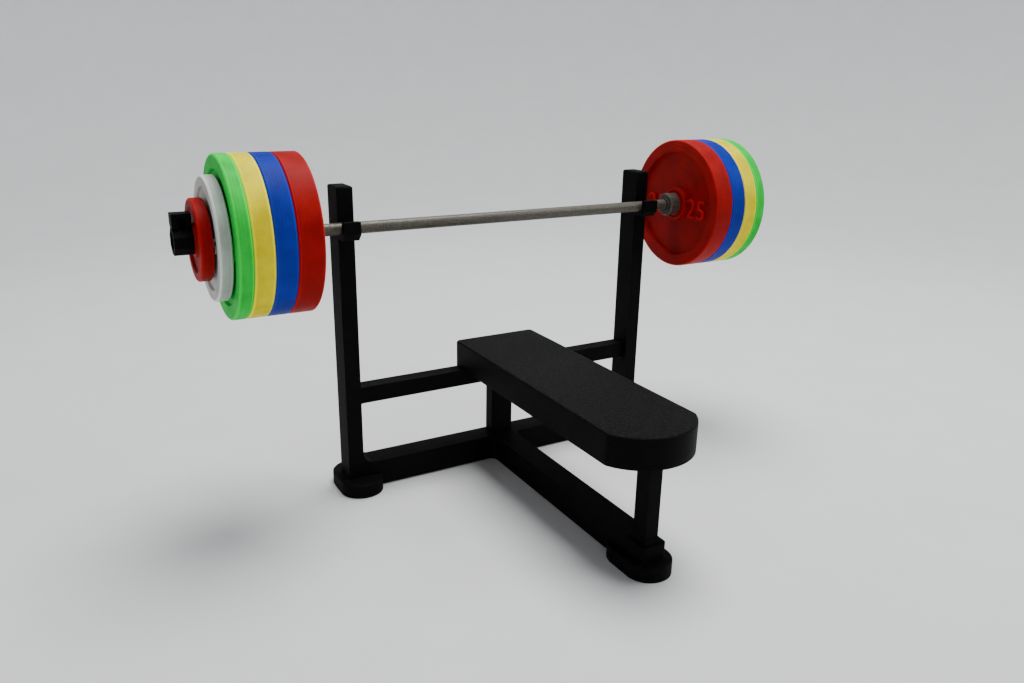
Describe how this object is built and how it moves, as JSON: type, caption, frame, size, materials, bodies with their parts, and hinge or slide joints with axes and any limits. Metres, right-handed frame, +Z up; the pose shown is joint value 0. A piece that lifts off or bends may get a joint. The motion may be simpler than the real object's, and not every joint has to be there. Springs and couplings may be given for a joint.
{
  "type": "scale model bench press",
  "caption": "Desk-size model of a flat press bench: two uprights with hooks, a padded bench and a loaded bar whose sleeves spin, plates slide and clamp levers open.",
  "frame": {"origin": "on the floor, under the middle of the whole model's footprint", "axes": "+X along the bar to the right as seen from the bench's foot end, +Y from the bench's foot end towards the uprights, +Z up"},
  "size_m": [0.2056, 0.1088, 0.1087],
  "materials": {
    "frame_black": "matte printed plastic with fine layer lines",
    "pad_black": "grainy printed plastic",
    "bar_silver": "speckled silver-grey printed plastic",
    "red": "satin printed plastic",
    "blue": "satin printed plastic",
    "yellow": "satin printed plastic",
    "green": "satin printed plastic",
    "white": "satin printed plastic",
    "collar_black": "matte printed plastic"
  },
  "bodies": {
    "rack": {"base_crossbeam": "frame_black", "upper_crossbar": "frame_black", "rear_post": "frame_black", "spine_beam": "frame_black", "front_post": "frame_black", "bench_pad": "pad_black", "foot_rear_left": "frame_black", "foot_rear_right": "frame_black", "foot_front": "frame_black", "upright_left": "frame_black", "upright_right": "frame_black", "hook_left": "frame_black", "hook_right": "frame_black"},
    "bar": {"bar_shaft": "bar_silver"},
    "sleeve_left": {"sleeve_left": "bar_silver"},
    "plate_25_left": {"plate_25_left": "red"},
    "plate_20_left": {"plate_20_left": "blue"},
    "plate_15_left": {"plate_15_left": "yellow"},
    "plate_10_left": {"plate_10_left": "green"},
    "plate_5_left": {"plate_5_left": "white"},
    "plate_2_5_left": {"plate_2_5_left": "red"},
    "collar_left": {"collar_left": "collar_black"},
    "lever_left": {"lever_left": "collar_black"},
    "sleeve_right": {"sleeve_right": "bar_silver"},
    "plate_25_right": {"plate_25_right": "red"},
    "plate_20_right": {"plate_20_right": "blue"},
    "plate_15_right": {"plate_15_right": "yellow"},
    "plate_10_right": {"plate_10_right": "green"},
    "plate_5_right": {"plate_5_right": "white"},
    "plate_2_5_right": {"plate_2_5_right": "red"},
    "collar_right": {"collar_right": "collar_black"},
    "lever_right": {"lever_right": "collar_black"}
  },
  "joints": [
    {"name": "bar_lift", "type": "slide", "parent": "rack", "child": "bar", "axis": [0, 0, 1], "range_m": [0, 0.02]},
    {"name": "sleeve_left_spin", "type": "hinge", "parent": "bar", "child": "sleeve_left", "pos_m": [-0.0645, 0.0319, 0.0862], "axis": [1, 0, 0], "continuous": true},
    {"name": "plate_25_left_slide", "type": "slide", "parent": "sleeve_left", "child": "plate_25_left", "axis": [-1, 0, 0], "range_m": [0, 0.036]},
    {"name": "plate_20_left_slide", "type": "slide", "parent": "sleeve_left", "child": "plate_20_left", "axis": [-1, 0, 0], "range_m": [0, 0.04248]},
    {"name": "plate_15_left_slide", "type": "slide", "parent": "sleeve_left", "child": "plate_15_left", "axis": [-1, 0, 0], "range_m": [0, 0.04896]},
    {"name": "plate_10_left_slide", "type": "slide", "parent": "sleeve_left", "child": "plate_10_left", "axis": [-1, 0, 0], "range_m": [0, 0.05472]},
    {"name": "plate_5_left_slide", "type": "slide", "parent": "sleeve_left", "child": "plate_5_left", "axis": [-1, 0, 0], "range_m": [0, 0.06048]},
    {"name": "plate_2_5_left_slide", "type": "slide", "parent": "sleeve_left", "child": "plate_2_5_left", "axis": [-1, 0, 0], "range_m": [0, 0.06624]},
    {"name": "collar_left_slide", "type": "slide", "parent": "sleeve_left", "child": "collar_left", "axis": [-1, 0, 0], "range_m": [0, 0.072]},
    {"name": "lever_left_turn", "type": "hinge", "parent": "collar_left", "child": "lever_left", "pos_m": [-0.1003, 0.0329, 0.0911], "axis": [-1, 0, 0], "range_deg": [0, 90]},
    {"name": "sleeve_right_spin", "type": "hinge", "parent": "bar", "child": "sleeve_right", "pos_m": [0.0645, 0.0319, 0.0862], "axis": [1, 0, 0], "continuous": true},
    {"name": "plate_25_right_slide", "type": "slide", "parent": "sleeve_right", "child": "plate_25_right", "axis": [1, 0, 0], "range_m": [0, 0.036]},
    {"name": "plate_20_right_slide", "type": "slide", "parent": "sleeve_right", "child": "plate_20_right", "axis": [1, 0, 0], "range_m": [0, 0.04248]},
    {"name": "plate_15_right_slide", "type": "slide", "parent": "sleeve_right", "child": "plate_15_right", "axis": [1, 0, 0], "range_m": [0, 0.04896]},
    {"name": "plate_10_right_slide", "type": "slide", "parent": "sleeve_right", "child": "plate_10_right", "axis": [1, 0, 0], "range_m": [0, 0.05472]},
    {"name": "plate_5_right_slide", "type": "slide", "parent": "sleeve_right", "child": "plate_5_right", "axis": [1, 0, 0], "range_m": [0, 0.06048]},
    {"name": "plate_2_5_right_slide", "type": "slide", "parent": "sleeve_right", "child": "plate_2_5_right", "axis": [1, 0, 0], "range_m": [0, 0.06624]},
    {"name": "collar_right_slide", "type": "slide", "parent": "sleeve_right", "child": "collar_right", "axis": [1, 0, 0], "range_m": [0, 0.072]},
    {"name": "lever_right_turn", "type": "hinge", "parent": "collar_right", "child": "lever_right", "pos_m": [0.1003, 0.0329, 0.0911], "axis": [-1, 0, 0], "range_deg": [0, 90]}
  ],
  "couplings": [
    {"joint": "plate_20_left_slide", "follows": "plate_25_left_slide", "ratio": 1.18},
    {"joint": "plate_15_left_slide", "follows": "plate_25_left_slide", "ratio": 1.36},
    {"joint": "plate_10_left_slide", "follows": "plate_25_left_slide", "ratio": 1.52},
    {"joint": "plate_5_left_slide", "follows": "plate_25_left_slide", "ratio": 1.68},
    {"joint": "plate_2_5_left_slide", "follows": "plate_25_left_slide", "ratio": 1.84},
    {"joint": "collar_left_slide", "follows": "plate_25_left_slide", "ratio": 2},
    {"joint": "plate_20_right_slide", "follows": "plate_25_right_slide", "ratio": 1.18},
    {"joint": "plate_15_right_slide", "follows": "plate_25_right_slide", "ratio": 1.36},
    {"joint": "plate_10_right_slide", "follows": "plate_25_right_slide", "ratio": 1.52},
    {"joint": "plate_5_right_slide", "follows": "plate_25_right_slide", "ratio": 1.68},
    {"joint": "plate_2_5_right_slide", "follows": "plate_25_right_slide", "ratio": 1.84},
    {"joint": "collar_right_slide", "follows": "plate_25_right_slide", "ratio": 2}
  ]
}
